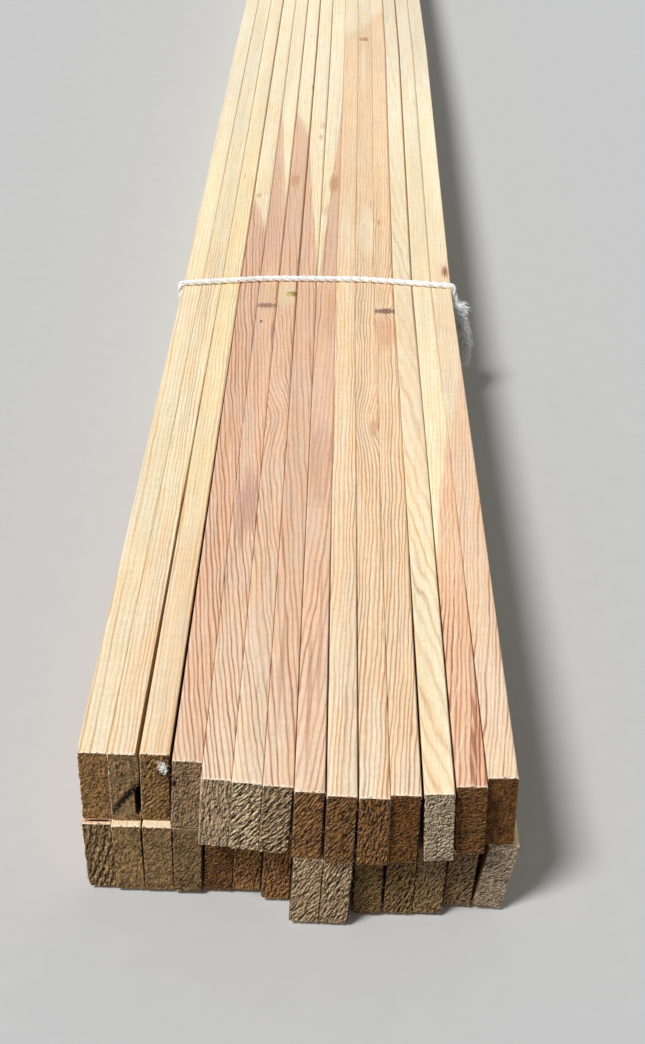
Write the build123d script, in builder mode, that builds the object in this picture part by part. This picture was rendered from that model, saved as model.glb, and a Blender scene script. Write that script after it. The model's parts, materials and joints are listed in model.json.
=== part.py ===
from build123d import *
from math import atan, cos, radians, sin, tan
import os

os.makedirs("parts", exist_ok=True)

# A bundle of planed pine trim strips: two layers of strips stood on edge and bound by
# two ties of twine. X runs across the bundle, Y along the strips with the near ends at
# -Y, and Z up. The origin is on the floor under the middle of the bundle with its ties.
# Lengths are in millimetres and angles in degrees.

# Strip stock
strip_thickness = 15.0
strip_width = 45.0
strip_length = 2400.0
arris = 0.5

# How far each strip's near end lies behind the foremost one, from left to right
upper_set_back = (30, 29, 29, 23.5, 11, 9, 7, 3.5, 1, 0, 2.5, 3.5, 8, 14.5)
lower_set_back = (26.5, 25, 24.5, 23.5, 25, 25, 19.5, 4, 3.5, 10.5, 11, 11.5, 17, 16)

# How far each strip leans to the right at its near end; the ties pull every strip upright
upper_lean = (0.8, 0.8, 1.9, 4.1, 4.1, 4.1, 4.1, 2.6, 1.9, 1.1, 0.8, -1.3, -1.0, -0.6)
lower_lean = (0, 0, 1.1, 1.9, 3.7, 3.7, 3.7, 3.7, 3.7, 1.5, 2.8, 2.8, 3.8, 9.2)

# Width of the seam to the right of each strip at the near ends, at its narrowest
upper_seam = (0.2, 0.4, 0.2, 0.2, 0.2, 0.2, 0.3, 0.7, 0.6, 0.2, 1.1, 0.5, 0.2)
lower_seam = (0.2, 0.2, 0.2, 0.2, 0.2, 0.3, 0.2, 0.2, 0.6, 0.6, 0.2, 0.8, 0.2)

# Seams under a tie, half way along, at the far ends, and between the two layers
tied_seam = 0.15
middle_seam = 0.5
far_seam = 0.4
layer_seam = 0.15

# How far the rows drift to the right of the ties, at the near ends and half way along
near_drift = 2.5
middle_drift = 1.0

# Twine, drawn with a few flat sides, and the ties that are made of it: how far they lie from
# the bundle's two ends, how far one bows off square over the middle share of the top, how
# tightly it turns the corners, how thick it is where the bundle stands on it, and how flat
# it lies elsewhere
twine_diameter = 4.6
twine_sides = 8
tie_inset = 577.0
tie_bow = 11.0
bow_share = 0.35
twine_bend_radius = 3.0
pressed_twine = 2.6
twine_bite = 0.3
twine_clearance = 0.1

# The knot on a tie's right side: how far its middle is below the top of the bundle and off
# its side, the radius, tilt and spacing of its two turns, and how far off the twine turns
# into it
knot_drop = 16.0
knot_stand_off = 6.2
knot_turn_radius = 3.6
knot_turn_tilt = 24.0
knot_turn_spacing = 4.2
knot_lead = 13.0

# The twine's two loose tails, from the knot's middle: along the bundle, out and down
tail_routes = {
    "long": ((-2.6, 3.0, 3.5), (-4.0, 6.5, 15.5), (-6.0, 7.8, 30.5), (-5.0, 6.0, 44.5)),
    "short": ((2.6, 3.0, 3.0), (5.0, 6.0, 12.5), (7.5, 8.5, 24.5), (8.5, 9.5, 36.0)),
}

# Corners lost at the near ends: side (-1 left, 1 right), end (-1 lower, 1 upper), and how
# far each loss reaches across the strip, up it and along it
corner_losses = {
    "strip_upper_01": (-1, 1, 1.0, 3.0, 10.0),
    "strip_upper_02": (1, 1, 1.0, 9.0, 330.0),
    "strip_upper_07": (1, -1, 3.0, 4.0, 12.0),
    "strip_lower_01": (-1, -1, 1.6, 6.0, 40.0),
    "strip_lower_09": (1, -1, 1.6, 2.2, 8.0),
    "strip_lower_10": (1, -1, 3.6, 3.0, 10.0),
}

# The pocket torn out of one strip's right side at its near end: how far down the strip it
# starts and ends, how deep it is, and how far it runs along the strip
pocket_strip = "strip_upper_02"
pocket_start = 20.0
pocket_end = 43.0
pocket_depth = 2.5
pocket_run = 70.0

strips_per_layer = len(upper_set_back)
bundle_length = strip_length + max(upper_set_back + lower_set_back)
upright = (0,) * strips_per_layer


def half_height(lean):
    """How far a leaning strip's highest and lowest arris are from its middle."""
    return strip_width / 2 * cos(radians(lean)) + strip_thickness / 2 * sin(radians(abs(lean)))


def half_breadth(lean):
    """Half of a leaning strip's breadth, measured level."""
    return strip_thickness / 2 / cos(radians(lean))


def even(seam):
    """The same seam all along a row."""
    return (seam,) * (strips_per_layer - 1)


def row(leans, seams, drift):
    """Where the middles of a row of strips lie across the bundle, each clear of the next."""
    middles = [0.0]
    for left, right, seam in zip(leans, leans[1:], seams):
        wedge = strip_width / 2 * abs(tan(radians(left)) - tan(radians(right)))
        middles.append(middles[-1] + half_breadth(left) + half_breadth(right) + wedge + seam)
    ends = middles[-1] + half_breadth(leans[-1]) - half_breadth(leans[0])
    return [across - ends / 2 + drift for across in middles]


def upper_seats(leans):
    """The level each upper strip stands on: the highest of the lower strips under it."""
    tops = [pressed_twine + 2 * half_height(lean) for lean in leans]
    return [max(tops[max(i - 1, 0): i + 2]) + layer_seam for i in range(strips_per_layer)]


# The bundle's outline under the ties, where the strips are upright and tight
tied_half_width = (strips_per_layer * strip_thickness + sum(even(tied_seam))) / 2
tied_top = pressed_twine + 2 * strip_width + layer_seam

# The lines that the middle of the twine follows round that outline
twine_radius = twine_diameter / 2
side_line = tied_half_width + twine_clearance + twine_radius - twine_bite
top_line = tied_top + twine_clearance + twine_radius - twine_bite
under_line = pressed_twine / 2
knot_line = tied_half_width + knot_stand_off

# The middle of the whole, from the twine on the left side to the knot on the right
knot_reach = knot_turn_radius + twine_radius
origin_x = (knot_line + knot_reach - side_line - twine_radius) / 2
origin_y = bundle_length / 2


def place(across, along, height, lean=0):
    """The plane that faces the near end, at a spot in the bundle, leaning as a strip does."""
    level = Vector(cos(radians(lean)), 0, -sin(radians(lean)))
    return Plane((across - origin_x, along - origin_y, height), x_dir=level, z_dir=(0, -1, 0))


def twine_section():
    """The section of the twine, with a flat side towards what it lies on."""
    RegularPolygon(twine_radius, twine_sides, major_radius=False, rotation=180 / twine_sides)


# The strips, each with straight stretches between its near end, the ties, the middle of
# the bundle and its far end
base = [pressed_twine] * strips_per_layer
layers = {
    "upper": (upper_set_back, upper_lean, upper_seam, upper_seats(lower_lean), upper_seats(upright)),
    "lower": (lower_set_back, lower_lean, lower_seam, base, base),
}
for layer, (set_back, lean, seam, near_seat, seat) in layers.items():
    near_row = row(lean, seam, near_drift)
    tied_row = row(upright, even(tied_seam), 0)
    middle_row = row(upright, even(middle_seam), middle_drift)
    far_row = row(upright, even(far_seam), 0)
    for i in range(strips_per_layer):
        name = f"strip_{layer}_{i + 1:02d}"
        near_end = place(near_row[i], set_back[i], near_seat[i] + half_height(lean[i]), lean[i])
        level = seat[i] + half_height(0)
        sections = (
            near_end,
            place(tied_row[i], tie_inset, level),
            place(middle_row[i], bundle_length / 2, level),
            place(tied_row[i], bundle_length - tie_inset, level),
            place(far_row[i], set_back[i] + strip_length, level),
        )

        with BuildPart() as strip:
            for plane in sections:
                with BuildSketch(plane) as section:
                    Rectangle(strip_thickness, strip_width)
                    chamfer(section.vertices(), arris)
            loft(ruled=True)

            if name in corner_losses:
                side, end, loss_across, loss_up, loss_along = corner_losses[name]
                corner_x, corner_y = side * strip_thickness / 2, end * strip_width / 2
                on_end = near_end.from_local_coords((corner_x - side * loss_across, corner_y, 0))
                on_side = near_end.from_local_coords((corner_x, corner_y - end * loss_up, 0))
                on_arris = near_end.from_local_coords((corner_x, corner_y, -loss_along))
                loss = Plane(on_end, x_dir=on_side - on_end,
                             z_dir=(on_side - on_end).cross(on_arris - on_end) * side * end)
                split(bisect_by=loss, keep=Keep.BOTTOM)

            if name == pocket_strip:
                side_x, top_y = strip_thickness / 2, strip_width / 2
                with BuildSketch(near_end, mode=Mode.PRIVATE) as mouth:
                    with BuildLine():
                        Polyline(
                            (side_x + pocket_depth, top_y - pocket_start),
                            (side_x - pocket_depth / 2, top_y - pocket_start),
                            (side_x - pocket_depth, top_y - pocket_start - 2 * pocket_depth),
                            (side_x - pocket_depth, top_y - pocket_end + pocket_depth),
                            (side_x + pocket_depth, top_y - pocket_end),
                            close=True,
                        )
                    make_face()
                run_out = near_end.from_local_coords((side_x, top_y - pocket_start, -pocket_run))
                loft([mouth.sketch.face(), Vertex(run_out)], mode=Mode.SUBTRACT)

        strip.part.label = name
        export_step(strip.part, f"parts/{name}.step")

# The ties, each one length of twine: its loop round the bundle with the knot that closes
# it, and the two tails that hang from the knot
loop_left, loop_right = -side_line - origin_x, side_line - origin_x
bow_run = (1 - bow_share) * tied_half_width
bow_radius = 0.45 * bow_run / tan(atan(tie_bow / bow_run) / 2)
for tie, tie_along in (("front", tie_inset), ("rear", bundle_length - tie_inset)):
    along = tie_along - origin_y
    knot = Vector(knot_line - origin_x, along, tied_top - knot_drop)
    turn = Vector(0, 0, knot_turn_spacing / 2)

    with BuildPart() as twine:
        with BuildLine() as loop:
            FilletPolyline(
                knot + turn,
                (loop_right, along, knot.Z + knot_lead),
                (loop_right, along, top_line),
                (bow_share * tied_half_width - origin_x, along + tie_bow, top_line),
                (-bow_share * tied_half_width - origin_x, along + tie_bow, top_line),
                (loop_left, along, top_line),
                (loop_left, along, under_line),
                (loop_right, along, under_line),
                (loop_right, along, knot.Z - knot_lead),
                knot - turn,
                radius=(knot_lead / 2, twine_bend_radius, bow_radius, bow_radius,
                        twine_bend_radius, twine_bend_radius, twine_bend_radius, knot_lead / 2),
            )
        with BuildSketch(Plane(loop.wire() @ 0, x_dir=(0, 1, 0), z_dir=loop.wire() % 0)):
            twine_section()
        sweep()
        with Locations((-origin_x, along + tie_bow / 2, pressed_twine - twine_clearance)):
            Box(
                2 * (tied_half_width + twine_clearance),
                2 * (tie_bow + twine_diameter),
                tied_top - pressed_twine + 2 * twine_clearance,
                align=(Align.CENTER, Align.CENTER, Align.MIN),
                mode=Mode.SUBTRACT,
            )
        for side in (-1, 1):
            ring = Plane(Location(knot + side * turn, (side * knot_turn_tilt, 0, 90)))
            with BuildSketch(Plane(ring.origin, x_dir=ring.x_dir, z_dir=ring.y_dir)):
                with Locations((knot_turn_radius, 0)):
                    twine_section()
            revolve(axis=Axis(ring.origin, ring.z_dir))
        split(bisect_by=Plane.XY, keep=Keep.TOP)
    twine.part.label = f"{tie}_twine"
    export_step(twine.part, f"parts/{tie}_twine.step")

    for tail_name, offsets in tail_routes.items():
        points = [knot + Vector(out, back, -down) for back, out, down in offsets]
        runs = [b - a for a, b in zip(points, points[1:])]
        radii = [
            0.45 * min(before.length, after.length) / tan(radians(before.get_angle(after)) / 2)
            for before, after in zip(runs, runs[1:])
        ]
        print(f"{tie} {tail_name} tail bends with radii of", [round(radius, 1) for radius in radii])
        with BuildPart() as tail:
            with BuildLine() as route:
                FilletPolyline(points, radius=radii)
            with BuildSketch(Plane(route.wire() @ 0, x_dir=(0, 1, 0), z_dir=route.wire() % 0)):
                twine_section()
            sweep()
            add(twine.part, mode=Mode.SUBTRACT)
        tail.part.label = f"{tie}_twine_tail_{tail_name}"
        export_step(tail.part, f"parts/{tie}_twine_tail_{tail_name}.step")
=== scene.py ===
import json
from dataclasses import dataclass
from math import cos, exp, pi, radians, sin

import bmesh
import bpy
import numpy as np
from bpy.props import FloatProperty, FloatVectorProperty, IntProperty, PointerProperty
from mathutils import Matrix, Vector
from mathutils.bvhtree import BVHTree

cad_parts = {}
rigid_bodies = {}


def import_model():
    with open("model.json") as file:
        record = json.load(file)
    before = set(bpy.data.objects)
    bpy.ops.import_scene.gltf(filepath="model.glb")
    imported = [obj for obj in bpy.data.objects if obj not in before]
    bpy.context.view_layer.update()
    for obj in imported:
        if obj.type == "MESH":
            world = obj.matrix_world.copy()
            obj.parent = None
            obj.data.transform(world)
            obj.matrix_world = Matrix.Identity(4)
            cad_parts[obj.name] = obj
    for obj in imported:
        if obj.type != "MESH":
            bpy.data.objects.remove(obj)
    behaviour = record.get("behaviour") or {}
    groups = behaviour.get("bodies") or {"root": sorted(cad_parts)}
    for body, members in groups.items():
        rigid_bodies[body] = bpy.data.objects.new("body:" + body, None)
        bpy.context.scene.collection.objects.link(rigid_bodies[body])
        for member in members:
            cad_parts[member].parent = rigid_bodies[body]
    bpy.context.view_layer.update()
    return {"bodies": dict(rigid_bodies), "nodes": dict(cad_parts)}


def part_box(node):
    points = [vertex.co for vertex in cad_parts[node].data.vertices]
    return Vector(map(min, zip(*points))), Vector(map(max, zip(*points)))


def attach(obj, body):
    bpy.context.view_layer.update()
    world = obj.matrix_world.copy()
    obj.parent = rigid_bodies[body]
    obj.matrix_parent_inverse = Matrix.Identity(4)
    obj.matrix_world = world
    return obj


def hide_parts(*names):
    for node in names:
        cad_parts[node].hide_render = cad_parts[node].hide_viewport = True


bl_info = {
    "name": "Bundle of pine trim strips",
    "version": (1, 0, 0),
    "blender": (4, 5, 0),
    "location": "3D View > Sidebar > Trim bundle",
    "description": "Dresses a tied bundle of planed pine strips: grain, sawn ends, twine and knots",
    "category": "Object",
}

MM = 0.001

# A strip's section in millimetres, and half of it in metres
THICKNESS = 15.0
WIDTH = 45.0
HALF_THICKNESS = THICKNESS / 2 * MM
HALF_WIDTH = WIDTH / 2 * MM

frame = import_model()

# The part has no joints, so all of it is one body
BODY = next(iter(frame["bodies"]))
STRIPS = sorted(name for name in frame["nodes"] if name.startswith("strip_"))
TIES = ("front", "rear")


@dataclass
class StripLook:
    """How one strip was sawn from its log, and what shows of that. Lengths are in millimetres.

    radial is the direction away from the pith on the near end, in degrees up from level, and pith is how
    far away the pith is. slope is how far the grain runs off to the right, for each millimetre along the
    strip, at its near end, and bend is the length, in metres, over which it straightens out. pale is how
    much paler the colour is made near that end, and calm how much fainter its rings get farther along.
    heart_to says how far the heartwood reaches, as the place along the bundle at the strip's left and right
    edge.

    ridge and pits are how deep the saw left the rings and the torn places on its ends, and lines how dark
    the rings are there, partly as painted shade in the grooves, with a painted highlight on each crest.
    tone is how light the ends are, emboss how strongly the painted light and shade of their grains shows,
    cut the direction that the grains are drawn out in, in degrees, and drawn how wide they are for their
    length.

    gap paints shade on the end beside its right edge. seams is how much shade is painted on the strip's
    left and right sides in the seams, and the share of that farther along. edge paints shade on the top's
    right edge near the end, and arris farther along. closed is the share of the seam on the right that the
    strip fills at the top.
    """

    radial: float
    pith: float
    rings: float
    slope: float
    wave: float
    contrast: float
    pale: float
    sap: str
    heart: str
    heart_to: tuple
    end: str
    ridge: float
    pits: float
    lines: float = 0.10
    tone: float = 1.0
    emboss: float = 1.0
    gap: bool = False
    bend: float = 0.30
    calm: float = 0.0
    seams: tuple = (1.0, 1.0, 0.5)
    arris: float = 0.0
    closed: float = 0.0
    edge: float = 0.0
    cut: float = 60.0
    drawn: float = 0.32


NO_HEART = (-9000, -9000)
ALL_HEART = (9000, 9000)

UPPER_LOOKS = (
    StripLook(-20, 60, 3.0, -0.02, 1.6, 0.76, 0.4, "cream", "pink", NO_HEART, "umber", 0.04, 0.34,
              tone=0.90, emboss=1.05, seams=(0, 0.3, 0.6), cut=60, drawn=0.7),
    StripLook(-10, 70, 2.5, -0.03, 1.8, 1.10, 0.5, "cream", "pink", NO_HEART, "drab", 0.05, 0.20,
              tone=0.92, emboss=0.75, seams=(0.3, 0, 1), cut=88, drawn=0.45),
    StripLook(-35, 55, 2.3, -0.02, 1.8, 0.95, 0.6, "butter", "pink", NO_HEART, "umber", 0.16, 0.30,
              tone=0.92, emboss=1.05, gap=True, seams=(0.5, 0.8, 1), arris=0.8, cut=68, drawn=0.45),
    StripLook(-5, 60, 2.5, -0.15, 1.8, 1.10, 0.4, "cream", "pink", (-449, -508), "grey", 0.04, 0.26,
              tone=0.90, emboss=1.45, bend=0.5, seams=(1, 0.4, 0.6), arris=0.35, closed=0.5,
              cut=80, drawn=0.5),
    StripLook(0, 80, 2.4, -0.14, 1.8, 0.98, 0.8, "cream", "pink", (-200, -500), "tan", 0.12, 0.30,
              tone=0.88, emboss=1.7, bend=0.5, seams=(0.4, 0.8, 0.8), arris=0.6, cut=86),
    StripLook(-33, 70, 2.8, -0.17, 2.2, 0.68, 0.9, "cream", "pink", (-205, -290), "tan", 0.60, 0.40, 0.75,
              tone=1.08, emboss=2.3, bend=0.5, seams=(0.8, 0.8, 1), arris=1.0, cut=53),
    StripLook(-34, 50, 3.2, -0.12, 1.8, 0.72, 0.6, "cream", "pink", (-300, -640), "fawn", 0.65, 0.32, 0.75,
              tone=0.86, emboss=2.6, gap=True, bend=0.4, seams=(0.8, 1, 0.2), arris=0.4, edge=0.35, cut=54),
    StripLook(-40, 60, 3.3, 0.13, 1.8, 0.66, 0.5, "cream", "pink", (-640, -190), "brown", 0.10, 0.42, 0.35,
              tone=0.92, emboss=3.2, gap=True, bend=0.4, seams=(1, 1, 0.2), closed=0.9, edge=0.9, cut=58),
    StripLook(-33, 70, 2.6, 0.045, 2.0, 0.82, 0.9, "cream", "tan", (40, 78), "brown", 0.20, 0.28, 0.2,
              tone=0.88, emboss=1.9, gap=True, seams=(1, 1, 0), closed=0.9, edge=0.9, cut=57),
    StripLook(-12, 75, 2.5, 0.06, 2.2, 1.55, 0.9, "cream", "tan", (80, 115), "brown", 0.30, 0.26, 0.6,
              tone=0.93, emboss=1.9, seams=(1, 0.3, 0), closed=0.9, cut=79),
    StripLook(-20, 85, 2.3, 0.09, 2.0, 1.35, 0.7, "cream", "tan", (115, 130), "ochre", 0.06, 0.34,
              tone=0.80, emboss=1.6, gap=True, seams=(0.3, 1, 0.3), arris=0.6, closed=0.7, edge=0.6,
              cut=62, drawn=0.8),
    StripLook(62, 60, 2.1, -0.17, 1.6, 0.60, 0.2, "cream", "tan", NO_HEART, "chalk", 0.03, 0.46,
              tone=0.89, emboss=2.3, bend=0.9, seams=(1, 1, 0.5), arris=1.0, edge=0.9, cut=30, drawn=0.9),
    StripLook(-40, 65, 2.4, 0.10, 1.8, 1.45, 0.0, "cream", "salmon", (-1035, -876), "rust", 0.05, 0.22,
              tone=0.88, emboss=1.8, bend=0.5, calm=0.68, seams=(1, 0.6, 0.3), arris=0.5, closed=0.9,
              cut=8, drawn=0.55),
    StripLook(-25, 90, 2.2, 0.14, 1.8, 0.88, 0.9, "cream", "salmon", (-876, -756), "rust_dark", 0.03, 0.16,
              tone=0.92, emboss=0.7, bend=0.5, calm=0.45, seams=(0.6, 0, 0.3), cut=86, drawn=0.7),
)

LOWER_LOOKS = (
    StripLook(-17, 120, 3.6, -0.04, 1.2, 0.80, 0.0, "cream", "salmon", (-700, -760), "earth", 0.24, 0.24, 1.0,
              tone=1.0, emboss=1.7, seams=(0, 1, 1), cut=76),
    StripLook(-30, 60, 2.4, -0.05, 1.2, 0.50, 0.5, "cream", "pink", NO_HEART, "earth", 0.05, 0.22,
              emboss=0.75, cut=86, drawn=0.5),
    StripLook(-30, 70, 2.2, -0.03, 1.2, 0.50, 0.5, "cream", "pink", NO_HEART, "earth", 0.06, 0.24,
              tone=0.90, emboss=0.85, cut=60, drawn=0.6),
    StripLook(-35, 60, 2.4, 0.03, 1.2, 0.60, 0.3, "cream", "pink", (-300, -200), "earth", 0.05, 0.20,
              tone=0.74, emboss=1.05, gap=True, cut=66, drawn=0.6),
    StripLook(-50, 60, 2.4, 0.05, 1.2, 0.70, 0.0, "cream", "salmon", ALL_HEART, "rust", 0.06, 0.34,
              tone=0.78, emboss=2.8, cut=50, drawn=0.7),
    StripLook(-40, 60, 2.4, -0.06, 1.4, 0.60, 0.0, "cream", "pink", (200, 60), "brown", 0.06, 0.30, 0.2,
              tone=1.04, emboss=3.0, gap=True, cut=80, drawn=0.5),
    StripLook(5, 80, 2.8, 0.04, 1.4, 0.70, 0.0, "cream", "pink", NO_HEART, "brown", 0.05, 0.30, 0.2,
              tone=1.08, emboss=3.2, gap=True, cut=84, drawn=0.5),
    StripLook(-55, 50, 2.8, 0.05, 1.4, 0.70, 0.0, "butter", "tan", NO_HEART, "fawn", 0.08, 0.46,
              tone=0.90, emboss=3.4, cut=62),
    StripLook(-25, 80, 2.4, -0.05, 1.2, 0.80, 0.0, "cream", "pink", NO_HEART, "fawn", 0.26, 0.42, 0.55,
              tone=0.90, emboss=3.4, gap=True, cut=68),
    StripLook(-30, 60, 2.6, 0.06, 1.2, 0.70, 0.0, "cream", "salmon", (-100, 100), "olive", 0.06, 0.28, 0.2,
              tone=0.82, emboss=2.6, gap=True, cut=60, drawn=0.7),
    StripLook(-20, 90, 2.8, -0.04, 1.2, 0.70, 0.0, "cream", "tan", (100, 300), "olive", 0.34, 0.28, 0.6,
              tone=1.04, emboss=2.8, cut=70),
    StripLook(-25, 55, 2.8, 0.05, 1.4, 0.80, 0.0, "cream", "pink", (-500, -420), "earth", 0.05, 0.26,
              tone=0.74, emboss=2.3, cut=84, drawn=0.5),
    StripLook(-60, 60, 2.4, -0.05, 1.2, 0.60, 0.0, "cream", "salmon", ALL_HEART, "earth", 0.05, 0.30, 0.2,
              tone=0.80, emboss=3.2, gap=True, cut=62, drawn=0.5),
    StripLook(-30, 50, 2.8, 0.06, 1.4, 0.50, 0.0, "butter", "tan", NO_HEART, "clay", 0.04, 0.24,
              tone=0.90, emboss=1.5, seams=(1, 0, 1), cut=50, drawn=0.9),
)

# The colours of the kinds of wood, between the rings and on them
WOODS = {
    "cream": ((0.99, 0.84, 0.56), (0.72, 0.46, 0.24)),
    "butter": ((0.99, 0.81, 0.49), (0.74, 0.46, 0.22)),
    "pink": ((0.83, 0.535, 0.36), (0.45, 0.20, 0.105)),
    "tan": ((0.96, 0.70, 0.44), (0.56, 0.32, 0.165)),
    "salmon": ((0.92, 0.59, 0.37), (0.42, 0.15, 0.075)),
}

# The paler colour near the end and the length it fades over, in metres, and the paler sapwood far from it
NEAR_END_PALE = (1.0, 0.81, 0.585)
PALE_RUN = 0.22
FADED = (0.98, 0.88, 0.66)

# The colours of the kinds of sawn end, where it's raised and where it's sunk, the sunk ones darkened as
# painted shade
ENDS = {
    "umber": ((0.352, 0.193, 0.070), (0.055, 0.022, 0.006)),
    "earth": ((0.320, 0.195, 0.084), (0.050, 0.026, 0.010)),
    "drab": ((0.317, 0.195, 0.090), (0.070, 0.036, 0.014)),
    "rust": ((0.204, 0.086, 0.020), (0.030, 0.010, 0.003)),
    "rust_dark": ((0.178, 0.074, 0.020), (0.030, 0.010, 0.003)),
    "brown": ((0.289, 0.134, 0.040), (0.030, 0.011, 0.003)),
    "ochre": ((0.215, 0.084, 0.015), (0.032, 0.010, 0.002)),
    "olive": ((0.240, 0.138, 0.045), (0.028, 0.014, 0.005)),
    "grey": ((0.371, 0.238, 0.130), (0.065, 0.036, 0.016)),
    "tan": ((0.583, 0.402, 0.240), (0.050, 0.027, 0.012)),
    "fawn": ((0.478, 0.321, 0.175), (0.032, 0.015, 0.006)),
    "chalk": ((0.499, 0.384, 0.247), (0.070, 0.044, 0.022)),
    "clay": ((0.412, 0.310, 0.204), (0.090, 0.058, 0.032)),
}

LOOKS = dict(zip(STRIPS, LOWER_LOOKS + UPPER_LOOKS))


@dataclass
class Mark:
    """A knot, stain, crack or resin streak, or a patch of painted shade.

    across and up are its place on the strip's section, from the middle, and along is its place along the
    bundle, in millimetres. It is an ellipse, turned by turn degrees in the section. bulge is how far it
    pushes the grain aside, ragged how frayed its edge is and soft how gradually it fades out.
    """

    across: float
    along: float
    half_width: float
    half_length: float
    colour: tuple
    strength: float = 1.0
    bulge: float = 0.0
    up: float = 22.5
    half_height: float = 25.0
    turn: float = 0.0
    ragged: float = 0.8
    soft: float = 0.7


BARK = (0.10, 0.045, 0.030)
MOTTLE = (1.0, 0.86, 0.62)

FAR_BROWN = Mark(0, 150, 24, 340, (0.73, 0.56, 0.38), 0.30)
FAR_GREY = Mark(0, 150, 24, 340, (0.73, 0.64, 0.48), 0.50)
ROSY = Mark(0, -780, 14, 220, (0.90, 0.68, 0.47), 0.5)

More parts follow.
